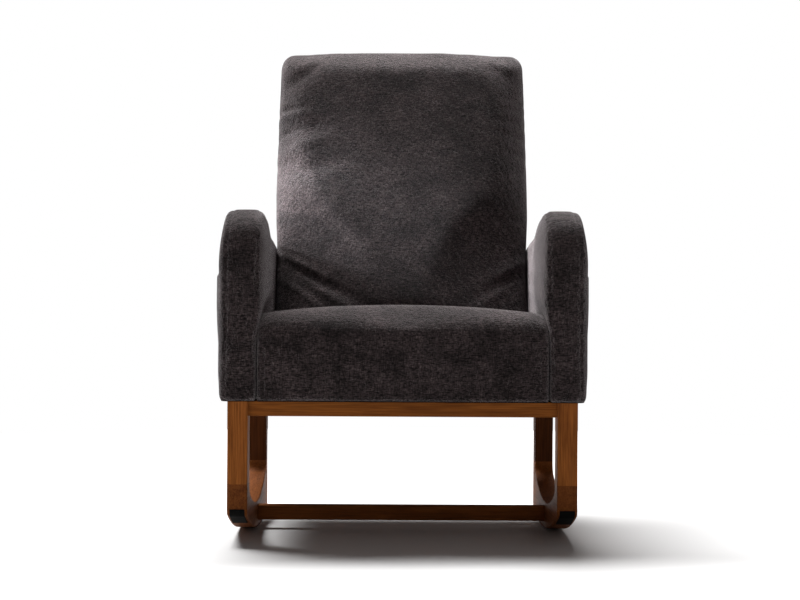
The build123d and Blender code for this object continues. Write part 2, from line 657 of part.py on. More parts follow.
CLIP_BASE = SEAT_FRAME_TOP + 2 * SPRING_WIRE_RADIUS
with BuildPart() as spring_clips:
    for depth in CROSS_RAILS.values():
        for x in SPRING_PLACES:
            with Locations((x, at(depth), CLIP_BASE + SPRING_PLATE / 2)):
                Box(CLIP_LENGTH, SEAT_RAIL_THICKNESS - 2 * FIT_GAP, SPRING_PLATE)
write(spring_clips, "spring_clips")


# Back: two posts and three rails carry the straps and foam, inside a pillow cover closed by a flat rear panel
def back_corners(inset, rear, bottom, drop):
    """The back's side outline at one place across its width, and its rounded corners."""
    top = BACK_LENGTH - drop - inset
    front_bottom = reclined(inset, along_at(inset, bottom))
    rear_bottom = reclined(rear, along_at(rear, bottom))
    front_top = reclined(inset, top)
    rear_top = reclined(rear, top)
    rear_round = min(BACK_REAR_ROUND, (rear - inset) / 3)
    front_round = min(BACK_FRONT_ROUND, (rear - inset) / 2)
    return [front_bottom, front_top, rear_top, rear_bottom], [(front_top, front_round), (rear_top, rear_round)]


def back_form(inset, rear, bottom):
    """The back's pillow form: crowned across, with rounded upper corners."""
    half = BACK_HALF - inset
    places = (
        (1.0, 1.0, 1.0),
        (0.99, 0.74, 0.62),
        (0.97, 0.5, 0.34),
        (0.94, 0.32, 0.13),
        (0.89, 0.18, 0.03),
        (0.8, 0.08, 0.0),
        (0.6, 0.02, 0.0),
    )
    stations = [(-share, soft, drop) for share, soft, drop in places]
    stations += [(0.0, 0.0, 0.0)]
    stations += [(share, soft, drop) for share, soft, drop in reversed(places)]
    with BuildPart() as form:
        for share, soft, drop in stations:
            corners, rounds = back_corners(
                inset + soft * BACK_SOFT_EDGE, rear, bottom, drop * BACK_CORNER_DROP
            )
            with BuildSketch(Plane.YZ.offset(share * half)):
                add(side_outline(corners, rounds))
        loft(ruled=True)
    return form.part


BACK_PLANE = Plane(
    (0, at(BACK_FRONT_DEPTH), BACK_FRONT_HEIGHT),
    x_dir=(1, 0, 0),
    z_dir=(0, -math.cos(RECLINE), math.sin(RECLINE)),
)
POST_REAR = POST_FRONT + POST_DEPTH
POST_X = BACK_HALF - FABRIC - BACK_SOFT_EDGE / 2 - POST_WIDTH / 2
POST_TOP = BACK_LENGTH - BACK_TOP_MARGIN
POST_BOTTOM = along_at(POST_FRONT, BODY_BOTTOM)
BACK_PANEL_HALF = BACK_HALF - BACK_PANEL_MARGIN
BACK_PANEL_TOP = BACK_LENGTH - BACK_REAR_ROUND - BACK_CORNER_DROP / 2

with BuildPart() as back_cover:
    add(back_form(0, BACK_THICKNESS, BODY_BOTTOM))
    add(back_form(FABRIC, BACK_THICKNESS - FABRIC, BODY_BOTTOM - FABRIC), mode=Mode.SUBTRACT)
    opening_bottom = along_at(BACK_THICKNESS, BODY_BOTTOM) + BACK_OPENING_MARGIN
    opening_top = BACK_PANEL_TOP - BACK_OPENING_MARGIN
    with BuildSketch(BACK_PLANE.offset(-BACK_THICKNESS - FABRIC)):
        with Locations((0, (opening_bottom + opening_top) / 2)):
            Rectangle(2 * (BACK_PANEL_HALF - BACK_OPENING_MARGIN), opening_top - opening_bottom)
    extrude(amount=3 * FABRIC, mode=Mode.SUBTRACT)
    for side in SIDES.values():
        with Locations([(side * BACK_HALF, at(depth), height) for depth, height in ARM_BOLT_POINTS[2:]]):
            Cylinder(BOLT_RADIUS + BOLT_CLEARANCE, ARM_PANEL, rotation=(0, 90, 0), mode=Mode.SUBTRACT)
write(back_cover, "back_cover")

with BuildPart() as back_panel:
    panel_bottom = along_at(BACK_THICKNESS, BODY_BOTTOM)
    with BuildSketch(BACK_PLANE.offset(-BACK_THICKNESS)):
        with Locations((0, (panel_bottom + BACK_PANEL_TOP) / 2)):
            Rectangle(2 * BACK_PANEL_HALF, BACK_PANEL_TOP - panel_bottom)
        fillet(vertices().group_by(Axis.Y)[-1], BACK_CORNER_DROP / 2)
    extrude(amount=-FABRIC)
    split(bisect_by=Plane.XY.offset(BODY_BOTTOM), keep=Keep.TOP)
write(back_panel, "back_outer_panel")

with BuildPart() as back_foam:
    foam_inset = FABRIC + FIT_GAP
    add(back_form(foam_inset, BACK_THICKNESS - foam_inset, BODY_BOTTOM + FABRIC))
    split(bisect_by=BACK_PLANE.offset(STRAP_THICKNESS + FIT_GAP - POST_FRONT), keep=Keep.TOP)
write(back_foam, "back_foam")

with BuildPart() as back_dust_cover:
    add(back_form(foam_inset, BACK_THICKNESS - foam_inset, BODY_BOTTOM))
    split(bisect_by=Plane.XY.offset(BODY_BOTTOM + DUST_COVER), keep=Keep.BOTTOM)
write(back_dust_cover, "back_dust_cover")

for name, side in SIDES.items():
    with BuildPart() as post:
        with BuildSketch(BACK_PLANE.offset(-POST_FRONT)):
            with Locations((side * POST_X, (POST_TOP + POST_BOTTOM) / 2)):
                Rectangle(POST_WIDTH, POST_TOP - POST_BOTTOM)
        extrude(amount=-POST_DEPTH)
        split(bisect_by=Plane.XY.offset(BODY_BOTTOM + DUST_COVER), keep=Keep.TOP)
        with Locations([(side * POST_X, at(depth), height) for depth, height in ARM_BOLT_POINTS[2:]]):
            Cylinder(BOLT_RADIUS + BOLT_CLEARANCE, POST_WIDTH, rotation=(0, 90, 0), mode=Mode.SUBTRACT)
    write(post, f"back_{name}_post")

RAIL_PLACES = {
    "top": POST_TOP - BACK_RAIL_HEIGHT / 2,
    "middle": POST_TOP / 2,
    "bottom": along_at(POST_REAR, BODY_BOTTOM) + BACK_RAIL_HEIGHT,
}
for place, along in RAIL_PLACES.items():
    with BuildPart() as back_rail:
        with BuildSketch(BACK_PLANE.offset(-POST_FRONT)):
            with Locations((0, along)):
                Rectangle(2 * POST_X - POST_WIDTH, BACK_RAIL_HEIGHT)
        extrude(amount=-POST_DEPTH)
    write(back_rail, f"back_{place}_rail")

with BuildPart() as straps:
    strap_pitch = (RAIL_PLACES["top"] - RAIL_PLACES["bottom"]) / (STRAP_COUNT - 1)
    for place in range(STRAP_COUNT):
        with BuildSketch(BACK_PLANE.offset(-POST_FRONT)):
            with Locations((0, RAIL_PLACES["bottom"] + place * strap_pitch)):
                Rectangle(2 * POST_X + POST_WIDTH - 2 * FIT_GAP, STRAP_WIDTH)
        extrude(amount=STRAP_THICKNESS)
write(straps, "back_webbing_straps")


# Bolts: four hold the body down on the base, eight hold the seat and the back between the arms
with BuildPart() as washers:
    with Locations([(x, y, BODY_BOTTOM - APRON_HEIGHT - WASHER_THICKNESS / 2) for x, y in body_bolt_points]):
        Cylinder(WASHER_RADIUS, WASHER_THICKNESS)
        Cylinder(BOLT_RADIUS + BOLT_CLEARANCE, WASHER_THICKNESS, mode=Mode.SUBTRACT)
write(washers, "body_bolt_washers")

BOLT_HEAD_TOP = BODY_BOTTOM - APRON_HEIGHT - WASHER_THICKNESS
BOLT_TIP = BODY_BOTTOM + ARM_SILL_HEIGHT / 2
with BuildPart() as body_bolts:
    for x, y in body_bolt_points:
        with BuildSketch(Plane.XY.offset(BOLT_HEAD_TOP)):
            with Locations((x, y)):
                RegularPolygon(BOLT_HEAD_RADIUS, 6)
        extrude(amount=-BOLT_HEAD_HEIGHT)
        with BuildSketch(Plane.XY.offset(BOLT_HEAD_TOP)):
            with Locations((x, y)):
                Circle(BOLT_RADIUS)
        extrude(amount=BOLT_TIP - BOLT_HEAD_TOP)
write(body_bolts, "body_bolts")

with BuildPart() as tee_nuts:
    with Locations([(x, y, BODY_BOTTOM + TEE_NUT_LENGTH / 2) for x, y in body_bolt_points]):
        Cylinder(TEE_NUT_RADIUS, TEE_NUT_LENGTH)
        Cylinder(BOLT_RADIUS + BORE_CLEARANCE, TEE_NUT_LENGTH, mode=Mode.SUBTRACT)
write(tee_nuts, "tee_nuts")

ARM_BOLT_HEADS = [RAIL_HALF - SEAT_RAIL_THICKNESS] * 2 + [POST_X - POST_WIDTH / 2] * 2
with BuildPart() as arm_bolts:
    for side in SIDES.values():
        for (depth, height), head in zip(ARM_BOLT_POINTS, ARM_BOLT_HEADS):
            bolt_plane = Plane((side * head, at(depth), height), x_dir=(0, side, 0), z_dir=(side, 0, 0))
            with BuildSketch(bolt_plane):
                RegularPolygon(BOLT_HEAD_RADIUS, 6)
            extrude(amount=-BOLT_HEAD_HEIGHT)
            with BuildSketch(bolt_plane):
                Circle(BOLT_RADIUS)
            extrude(amount=PANEL_INNER + ARM_PANEL - head)
write(arm_bolts, "arm_bolts")

with BuildPart() as arm_nuts:
    for side in SIDES.values():
        with Locations([(side * PANEL_MIDDLE, at(depth), height) for depth, height in ARM_BOLT_POINTS]):
            Cylinder(TEE_NUT_RADIUS - BORE_CLEARANCE, ARM_PANEL, rotation=(0, 90, 0))
            Cylinder(BOLT_RADIUS + BORE_CLEARANCE, ARM_PANEL, rotation=(0, 90, 0), mode=Mode.SUBTRACT)
write(arm_nuts, "arm_bolt_nuts")
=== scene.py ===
"""Looks of the upholstered rocking chair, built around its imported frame.

Metres, +Z up, the chair faces -Y. Left is the sitter's left, +X.
"""

import json
import math

import bmesh
import bpy
import numpy as np
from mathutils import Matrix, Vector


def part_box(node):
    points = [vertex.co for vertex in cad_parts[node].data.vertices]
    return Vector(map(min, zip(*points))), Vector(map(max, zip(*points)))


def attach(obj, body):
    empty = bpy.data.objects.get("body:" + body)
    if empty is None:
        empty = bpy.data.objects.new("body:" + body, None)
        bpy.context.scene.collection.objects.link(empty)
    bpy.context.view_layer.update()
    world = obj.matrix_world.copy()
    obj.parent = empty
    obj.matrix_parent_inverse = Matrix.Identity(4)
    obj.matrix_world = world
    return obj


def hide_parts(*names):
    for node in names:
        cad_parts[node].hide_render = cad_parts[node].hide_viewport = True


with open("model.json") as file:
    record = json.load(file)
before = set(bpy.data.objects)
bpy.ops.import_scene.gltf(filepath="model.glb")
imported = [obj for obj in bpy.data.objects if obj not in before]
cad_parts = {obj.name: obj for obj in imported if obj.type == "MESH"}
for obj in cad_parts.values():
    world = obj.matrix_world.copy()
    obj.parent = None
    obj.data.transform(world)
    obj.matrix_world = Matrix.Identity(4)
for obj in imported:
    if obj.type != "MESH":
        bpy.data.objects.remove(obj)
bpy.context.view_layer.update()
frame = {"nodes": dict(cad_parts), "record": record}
nodes = frame["nodes"]


# Walnut-stained solid wood under a thin satin lacquer: rockers, legs, aprons and stretcher.
# The grain runs along each bar, so each direction of grain has its own material. The rear legs and the
# stretcher get darker copies, and their darker tone is painted shade.
def walnut(name, grain, dark, light):
    material = bpy.data.materials.new(name)
    material.use_nodes = True
    tree = material.node_tree
    shader = tree.nodes["Principled BSDF"]
    place = tree.nodes.new("ShaderNodeTexCoord")
    stretch = tree.nodes.new("ShaderNodeMapping")
    stretch.inputs["Scale"].default_value = [3.0 if axis == grain else 34.0 for axis in range(3)]
    tree.links.new(place.outputs["Object"], stretch.inputs["Vector"])
    figure = tree.nodes.new("ShaderNodeTexNoise")
    figure.inputs["Scale"].default_value = 1.6
    figure.inputs["Detail"].default_value = 7.0
    figure.inputs["Roughness"].default_value = 0.62
    figure.inputs["Distortion"].default_value = 0.9
    tree.links.new(stretch.outputs["Vector"], figure.inputs["Vector"])
    tone = tree.nodes.new("ShaderNodeValToRGB")
    tone.color_ramp.elements[0].position = 0.33
    tone.color_ramp.elements[0].color = (*dark, 1)
    tone.color_ramp.elements[1].position = 0.68
    tone.color_ramp.elements[1].color = (*light, 1)
    tree.links.new(figure.outputs["Fac"], tone.inputs["Fac"])
    fine = tree.nodes.new("ShaderNodeMapping")
    fine.inputs["Scale"].default_value = [14.0 if axis == grain else 520.0 for axis in range(3)]
    tree.links.new(place.outputs["Object"], fine.inputs["Vector"])
    pores = tree.nodes.new("ShaderNodeTexNoise")
    pores.inputs["Scale"].default_value = 1.0
    pores.inputs["Detail"].default_value = 3.0
    tree.links.new(fine.outputs["Vector"], pores.inputs["Vector"])
    pore_tone = tree.nodes.new("ShaderNodeMapRange")
    pore_tone.inputs["From Min"].default_value = 0.3
    pore_tone.inputs["From Max"].default_value = 0.6
    pore_tone.inputs["To Min"].default_value = 0.62
    pore_tone.inputs["To Max"].default_value = 1.08
    tree.links.new(pores.outputs["Fac"], pore_tone.inputs["Value"])
    shade = tree.nodes.new("ShaderNodeMix")
    shade.data_type = "RGBA"
    shade.blend_type = "MULTIPLY"
    shade.inputs["Factor"].default_value = 1.0
    tree.links.new(tone.outputs["Color"], shade.inputs["A"])
    tree.links.new(pore_tone.outputs["Result"], shade.inputs["B"])
    tree.links.new(shade.outputs["Result"], shader.inputs["Base Color"])
    gloss = tree.nodes.new("ShaderNodeMapRange")
    gloss.inputs["To Min"].default_value = 0.72
    gloss.inputs["To Max"].default_value = 0.5
    tree.links.new(pores.outputs["Fac"], gloss.inputs["Value"])
    tree.links.new(gloss.outputs["Result"], shader.inputs["Roughness"])
    shader.inputs["Specular IOR Level"].default_value = 0.06
    bump = tree.nodes.new("ShaderNodeBump")
    bump.inputs["Strength"].default_value = 0.22
    bump.inputs["Distance"].default_value = 0.0006
    tree.links.new(pores.outputs["Fac"], bump.inputs["Height"])
    tree.links.new(bump.outputs["Normal"], shader.inputs["Normal"])
    return material


leg_walnut = walnut("walnut_front_legs", 2, (0.18, 0.054, 0.0105), (0.335, 0.109, 0.0225))
# The rear legs' copy is far darker than the front legs': painted shade for the shadow they stand in under the
# seat.
rear_painted_shade_walnut = walnut("walnut_rear_legs_painted_shade", 2, (0.045, 0.0122, 0.0024), (0.078, 0.021, 0.0042))
rocker_walnut = walnut("walnut_rockers", 1, (0.118, 0.035, 0.0076), (0.185, 0.056, 0.0125))
apron_walnut = walnut("walnut_aprons", 0, (0.16, 0.048, 0.0086), (0.285, 0.092, 0.0168))
# The stretcher's copy is darker than the aprons': painted shade for its place low under the chair, near the
# floor.
stretcher_painted_shade_walnut = walnut("walnut_stretcher_painted_shade", 0, (0.125, 0.039, 0.0085), (0.205, 0.066, 0.0142))
for name, node in nodes.items():
    wood = None
    if name.endswith("_front_leg"):
        wood = leg_walnut
    elif name.endswith("_rear_leg"):
        wood = rear_painted_shade_walnut
    elif name.endswith("_rocker") or name.endswith("_side_apron"):
        wood = rocker_walnut
    elif name.endswith("_apron"):
        wood = apron_walnut
    elif name == "lower_stretcher":
        wood = stretcher_painted_shade_walnut
    if wood:
        node.data.materials.clear()
        node.data.materials.append(wood)


# Small and hidden pieces: rubber stops, blackened screws, steel bolts and springs, raw wood, foam
# and black cloth. Each gets a plain colour broken up by noise at its own scale.
def plain(name, low, high, scale, roughness, metallic, bump_mm):
    material = bpy.data.materials.new(name)
    material.use_nodes = True
    tree = material.node_tree
    shader = tree.nodes["Principled BSDF"]
    place = tree.nodes.new("ShaderNodeTexCoord")
    grain = tree.nodes.new("ShaderNodeTexNoise")
    grain.inputs["Scale"].default_value = scale
    grain.inputs["Detail"].default_value = 4.0
    tree.links.new(place.outputs["Object"], grain.inputs["Vector"])
    tone = tree.nodes.new("ShaderNodeValToRGB")
    tone.color_ramp.elements[0].position = 0.3
    tone.color_ramp.elements[0].color = (*low, 1)
    tone.color_ramp.elements[1].position = 0.7
    tone.color_ramp.elements[1].color = (*high, 1)
    tree.links.new(grain.outputs["Fac"], tone.inputs["Fac"])
    tree.links.new(tone.outputs["Color"], shader.inputs["Base Color"])
    shader.inputs["Roughness"].default_value = roughness
    shader.inputs["Metallic"].default_value = metallic
    shader.inputs["Specular IOR Level"].default_value = 0.5 if metallic else 0.05
    bump = tree.nodes.new("ShaderNodeBump")
    bump.inputs["Strength"].default_value = 0.4
    bump.inputs["Distance"].default_value = bump_mm / 1000
    tree.links.new(grain.outputs["Fac"], bump.inputs["Height"])
    tree.links.new(bump.outputs["Normal"], shader.inputs["Normal"])
    return material


small_finishes = {
    "stop_rubber": plain("stop_rubber", (0.0025, 0.0025, 0.0023), (0.007, 0.007, 0.0065), 900, 0.85, 0, 0.25),
    "dark_screw": plain("dark_screw", (0.03, 0.028, 0.026), (0.07, 0.066, 0.06), 600, 0.42, 1, 0.05),
    "steel": plain("zinc_steel", (0.16, 0.16, 0.155), (0.26, 0.26, 0.25), 300, 0.5, 1, 0.05),
    "inner_wood": plain("raw_pine", (0.42, 0.27, 0.14), (0.6, 0.42, 0.24), 40, 0.7, 0, 0.2),
    "foam": plain("foam", (0.62, 0.58, 0.42), (0.74, 0.7, 0.54), 700, 0.95, 0, 0.6),
    "black_cloth": plain("black_cloth", (0.006, 0.006, 0.006), (0.02, 0.02, 0.02), 1400, 0.95, 0, 0.3),
}
for entry in frame["record"]["subparts"]:
    if entry["material_slot"] in small_finishes:
        mesh = nodes[entry["node"]].data
        mesh.materials.clear()
        mesh.materials.append(small_finishes[entry["material_slot"]])


# Arms: padded panels with a round front corner, a top that falls to the rear and a slanted rear end.
# The cover is sewn along both edges of its front and top strip and stands a little proud between the seams.
# That cover is charcoal chenille, a short fuzzy pile with nap patches, weft flecks and fainter warp flecks.
chenille = bpy.data.materials.new("charcoal_chenille")
chenille.use_nodes = True
tree = chenille.node_tree
shader = tree.nodes["Principled BSDF"]
place = tree.nodes.new("ShaderNodeTexCoord")


def yarn(scale, detail, roughness, distortion):
    squeeze = tree.nodes.new("ShaderNodeMapping")
    squeeze.inputs["Scale"].default_value = scale
    tree.links.new(place.outputs["Object"], squeeze.inputs["Vector"])
    noise = tree.nodes.new("ShaderNodeTexNoise")
    noise.inputs["Scale"].default_value = 1.0
    noise.inputs["Detail"].default_value = detail
    noise.inputs["Roughness"].default_value = roughness
    noise.inputs["Distortion"].default_value = distortion
    tree.links.new(squeeze.outputs["Vector"], noise.inputs["Vector"])
    return noise


def spread(noise, low, high, least, most):
    tone = tree.nodes.new("ShaderNodeMapRange")
    tone.inputs["From Min"].default_value = low
    tone.inputs["From Max"].default_value = high
    tone.inputs["To Min"].default_value = least
    tone.inputs["To Max"].default_value = most
    tree.links.new(noise.outputs["Fac"], tone.inputs["Value"])
    return tone


def times(first, second):
    product = tree.nodes.new("ShaderNodeMath")
    product.operation = "MULTIPLY"
    tree.links.new(first.outputs[0], product.inputs[0])
    tree.links.new(second.outputs[0], product.inputs[1])
    return product


weft = yarn((120, 420, 470), 4.0, 0.7, 0.3)
warp = yarn((520, 520, 110), 3.0, 0.6, 0.2)
nap = yarn((13, 13, 17), 5.0, 0.6, 0.6)
flecks = times(spread(weft, 0.38, 0.62, 0.15, 2.0), spread(warp, 0.38, 0.62, 0.55, 1.45))
depth_of_dye = times(flecks, spread(nap, 0.36, 0.64, 0.6, 1.5))
dyed = tree.nodes.new("ShaderNodeMix")
dyed.data_type = "RGBA"
dyed.blend_type = "MULTIPLY"
dyed.inputs["Factor"].default_value = 1.0
dyed.inputs["A"].default_value = (0.035, 0.0268, 0.0272, 1)
tree.links.new(depth_of_dye.outputs["Value"], dyed.inputs["B"])
tree.links.new(dyed.outputs["Result"], shader.inputs["Base Color"])
shader.inputs["Roughness"].default_value = 0.9
shader.inputs["Specular IOR Level"].default_value = 0.1
shader.inputs["Sheen Weight"].default_value = 0.45
shader.inputs["Sheen Roughness"].default_value = 0.25
shader.inputs["Sheen Tint"].default_value = (0.95, 0.885, 0.90, 1)
pile = tree.nodes.new("ShaderNodeBump")
pile.inputs["Strength"].default_value = 0.7
pile.inputs["Distance"].default_value = 0.0018
tree.links.new(flecks.outputs["Value"], pile.inputs["Height"])
crushed = tree.nodes.new("ShaderNodeBump")
crushed.inputs["Strength"].default_value = 0.5
crushed.inputs["Distance"].default_value = 0.006
ruffle = yarn((70, 70, 42), 4.0, 0.55, 0.4)
tree.links.new(ruffle.outputs["Fac"], crushed.inputs["Height"])
tree.links.new(pile.outputs["Normal"], crushed.inputs["Normal"])
tree.links.new(crushed.outputs["Normal"], shader.inputs["Normal"])


# Depths run back from the front legs' front face, and the back leans on a line through its foot.
FRONT_Y = float(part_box("left_front_leg")[0][1])
BODY_BOTTOM = float(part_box("left_front_leg")[1][2])
ARM_OUTER = float(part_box("left_arm_cover")[1][0])
ARM_INNER = float(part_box("left_arm_cover")[0][0])
RECLINE = math.radians(20)
BACK_FOOT_DEPTH = 0.470
BACK_FOOT_HEIGHT = 0.429
BACK_THICKNESS = 0.120
OVERHANG = 0.013
SEWN_GAP = 0.0008
VOXEL = 0.006


def reclined(across, along):
    depth = BACK_FOOT_DEPTH + across * math.cos(RECLINE) + along * math.sin(RECLINE)
    height = BACK_FOOT_HEIGHT - across * math.sin(RECLINE) + along * math.cos(RECLINE)
    return depth, height


def along_at(across, height):
    return (height - BACK_FOOT_HEIGHT + across * math.sin(RECLINE)) / math.cos(RECLINE)


def rounded(corners, radii):
    """A closed outline of points: each corner is cut by an arc of its radius, each run is split evenly."""
    points = []
    count = len(corners)
    for index in range(count):
        here = np.array(corners[index], dtype=float)
        back = np.array(corners[index - 1], dtype=float) - here
        ahead = np.array(corners[(index + 1) % count], dtype=float) - here
        back /= np.linalg.norm(back)
        ahead /= np.linalg.norm(ahead)
        half = math.acos(max(-1.0, min(1.0, float(back @ ahead)))) / 2
        reach = radii[index] / math.tan(half)
        start = here + back * reach
        end = here + ahead * reach
        middle = (back + ahead) / np.linalg.norm(back + ahead)
        centre = here + middle * radii[index] / math.sin(half)
        for step in range(13):
            share = step / 12
            chord = start + (end - start) * share - centre
            chord *= radii[index] / max(np.linalg.norm(chord), 1e-9)
            points.append(centre + chord)
    return points


def soft_body(name, rings):
    """A closed mesh through rings of points, one ring at each X."""
    mesh = bpy.data.meshes.new(name)
    shape = bmesh.new()
    loops = []
    for x, outline in rings:
        corners = [shape.verts.new((x, FRONT_Y + depth, height)) for depth, height in outline]
        loops.append([shape.edges.new((corners[step - 1], corners[step])) for step in range(len(corners))])
    for first, second in zip(loops, loops[1:]):
        bmesh.ops.bridge_loops(shape, edges=first + second)
    bmesh.ops.holes_fill(shape, edges=loops[0] + loops[-1], sides=0)
    bmesh.ops.recalc_face_normals(shape, faces=shape.faces)
    shape.to_mesh(mesh)
    shape.free()
    piece = bpy.data.objects.new(name, mesh)
    bpy.context.scene.collection.objects.link(piece)
    return piece


def applied(piece):
    """Turns a piece's modifiers into its mesh."""
    graph = bpy.context.evaluated_depsgraph_get()
    fresh = bpy.data.meshes.new_from_object(piece.evaluated_get(graph))
    piece.modifiers.clear()
    piece.data = fresh
    fresh.shade_smooth()


def settle(piece, voxel, smoothing):
    """Gives a piece an even mesh and softens its steps."""
    even = piece.modifiers.new("even_mesh", "REMESH")
    even.mode = "VOXEL"
    even.voxel_size = voxel
    applied(piece)
    shape = bmesh.new()
    shape.from_mesh(piece.data)
    for turn in range(smoothing):
        bmesh.ops.smooth_vert(
            shape, verts=shape.verts, factor=0.5, use_axis_x=True, use_axis_y=True, use_axis_z=True
        )
    shape.to_mesh(piece.data)
    shape.free()


def refine(piece):
    """One subdivision, so that seams and folds have points enough."""
    finer = piece.modifiers.new("finer", "SUBSURF")
    finer.levels = 1
    finer.render_levels = 1
    applied(piece)


def places_of(piece):
    flat = np.empty(len(piece.data.vertices) * 3)
    piece.data.vertices.foreach_get("co", flat)
    return flat.reshape(-1, 3)


def normals_of(piece):
    flat = np.empty(len(piece.data.vertices) * 3)
    piece.data.vertices.foreach_get("normal", flat)
    return flat.reshape(-1, 3)


def put(piece, places):
    piece.data.vertices.foreach_set("co", places.ravel())
    piece.data.update()


def ramp(value, start, end):
    """Rises smoothly from 0 at start to 1 at end."""
    share = np.clip((value - start) / (end - start), 0, 1)
    return share * share * (3 - 2 * share)


def evened(piece, field, turns):
    """Spreads a value over each point's neighbours, so that it has no steps."""
    pairs = np.empty(len(piece.data.edges) * 2, dtype=int)
    piece.data.edges.foreach_get("vertices", pairs)
    first, second = pairs.reshape(-1, 2).T
    count = len(piece.data.vertices)
    around = np.bincount(first, minlength=count) + np.bincount(second, minlength=count)
    for turn in range(turns):
        spread_out = np.empty_like(field)
        for axis in range(field.shape[1]):
            spread_out[:, axis] = np.bincount(first, field[second, axis], count)
            spread_out[:, axis] += np.bincount(second, field[first, axis], count)
        field = 0.5 * field + 0.5 * spread_out / around[:, None]
    return field


PUFF_FRAMES = 20


def puff(piece, hold, cap):
    """Blows the cover up a little as cloth over its filling. hold is 1 where it is fixed, 0 where free."""
    group = piece.vertex_groups.new(name="held")
    for index in np.flatnonzero(hold > 0.02):
        group.add([int(index)], float(hold[index]), "REPLACE")
    cloth = piece.modifiers.new("cover", "CLOTH")
    cloth.settings.quality = 2
    cloth.settings.mass = 0.35
    cloth.settings.tension_stiffness = 18
    cloth.settings.compression_stiffness = 18
    cloth.settings.shear_stiffness = 6
    cloth.settings.bending_stiffness = 2.0
    cloth.settings.use_pressure = True
    cloth.settings.uniform_pressure_force = 4.0
    cloth.settings.vertex_group_mass = "held"
    cloth.settings.effector_weights.gravity = 0
    cloth.point_cache.frame_start = 1
    cloth.point_cache.frame_end = PUFF_FRAMES
    scene = bpy.context.scene
    before = places_of(piece)
    for moment in range(1, PUFF_FRAMES + 1):
        scene.frame_set(moment)
    graph = bpy.context.evaluated_depsgraph_get()
    blown = piece.evaluated_get(graph).to_mesh()
    after = np.empty(len(blown.vertices) * 3)
    blown.vertices.foreach_get("co", after)
    piece.evaluated_get(graph).to_mesh_clear()
    piece.modifiers.clear()
    piece.vertex_groups.clear()
    scene.frame_set(1)
    move = after.reshape(-1, 3) - before
    length = np.linalg.norm(move, axis=1)
    move *= (np.minimum(cap, length) / np.maximum(length, 1e-9) * (1 - hold))[:, None]
    put(piece, before + evened(piece, move, 16))


def sink(piece, line, depth, width):
    """Draws the cover in along a sewn line, given as points."""
    places = places_of(piece)
    normals = normals_of(piece)
    line = np.array(line, dtype=float)
    low = line.min(axis=0) - 4 * width
    high = line.max(axis=0) + 4 * width
    near = np.flatnonzero(np.all((places > low) & (places < high), axis=1))
    nearest = np.full(len(near), 9.0)
    for start, end in zip(line, line[1:]):
        run = end - start
        share = np.clip((places[near] - start) @ run / max(run @ run, 1e-12), 0, 1)
        gap = np.linalg.norm(places[near] - (start + share[:, None] * run), axis=1)
        nearest = np.minimum(nearest, gap)
    places[near] -= normals[near] * (depth * np.exp(-((nearest / width) ** 2)))[:, None]
    put(piece, places)


def dress(piece, fill, *covered):
    """Finishes a padded piece: its cover, and what it stands for."""
    piece.data.materials.clear()
    piece.data.materials.append(chenille)
    piece.data.shade_smooth()
    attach(piece, "root")
    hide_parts(*covered)


def arm_outline(inset):
    rear = BACK_THICKNESS - 0.012 - inset
    rear_bottom = reclined(rear, along_at(rear, BODY_BOTTOM))
    front = -OVERHANG + inset
    slope = math.tan(math.radians(5.6))
    crest = 0.632 - inset
    lean = math.tan(RECLINE)
    rear_depth = (rear_bottom[0] + lean * (crest + slope * 0.055 - BODY_BOTTOM)) / (1 + lean * slope)
    corners = [
        (front, BODY_BOTTOM),
        (front, crest - (front - 0.055) * slope),
        (rear_depth, crest - (rear_depth - 0.055) * slope),
        rear_bottom,
    ]
    return rounded(corners, [0.004, 0.074 - inset, 0.038 - inset, 0.004])


def inner_bulge(height, depth):
    """How far the arm leans over the seat."""
    return 0.011 * ramp(height, 0.375, 0.465) * ramp(depth, 0.40, 0.10)


def outer_taper(height):
    """How far the arm's outer face draws in toward its top."""
    return 0.010 * ramp(height, 0.52, 0.645)


def crisp_below_seat(inset):
    """The arm's outline with its soft edge kept tight where the seat front butts against it."""
    blended = []
    for tight, full in zip(arm_outline(0.25 * inset), arm_outline(inset)):
        share = min(1.0, max(0.0, (full[1] - 0.36) / 0.06))
        blended.append(tight + (full - tight) * share)
    return blended


SEAM_INSET = 0.0095
for side, sign in (("left", 1), ("right", -1)):
    soft = ((0.0, 0.012), (0.0015, 0.0072), (0.004, 0.0038), (0.008, 0.0014), (0.016, 0.0))
    rings = [(sign * (ARM_INNER + step), crisp_below_seat(inset)) for step, inset in soft]
    rings += [(sign * (ARM_OUTER + 0.002 - step), arm_outline(inset)) for step, inset in reversed(soft)]
    arm = soft_body(f"{side}_arm", rings)
    settle(arm, VOXEL, 2)
    places = places_of(arm)
    depth = places[:, 1] - FRONT_Y
    height = places[:, 2]
    inner_side = ramp(sign * places[:, 0], ARM_INNER + 0.064, ARM_INNER)
    lean_in = inner_bulge(height, depth) * inner_side + outer_taper(height) * (1 - inner_side)
    places[:, 0] -= sign * lean_in
    put(arm, places)
    behind_seat = ramp(depth - 0.364 * (height - 0.429), 0.43, 0.47)
    unseen = ramp(sign * places[:, 0], ARM_INNER + 0.03, ARM_INNER + 0.012)
    hold = unseen * np.maximum(ramp(height, 0.46, 0.43), behind_seat)
    hold = np.maximum(hold, ramp(height, BODY_BOTTOM + 0.04, BODY_BOTTOM + 0.012))
    puff(arm, hold, 0.004)
    refine(arm)
    front_and_top = arm_outline(0.0035)[6:40]
    inner_seam = []
    outer_seam = []
    for run, rise in front_and_top:
        inner = ARM_INNER + SEAM_INSET - inner_bulge(rise, run)
        outer = ARM_OUTER - SEAM_INSET - outer_taper(rise)
        inner_seam.append((sign * inner, FRONT_Y + run, rise))
        outer_seam.append((sign * outer, FRONT_Y + run, rise))
    sink(arm, inner_seam, 0.0016, 0.0035)
    sink(arm, outer_seam, 0.0016, 0.0035)
    dress(arm, 0.85, f"{side}_arm_cover", f"{side}_arm_foam")


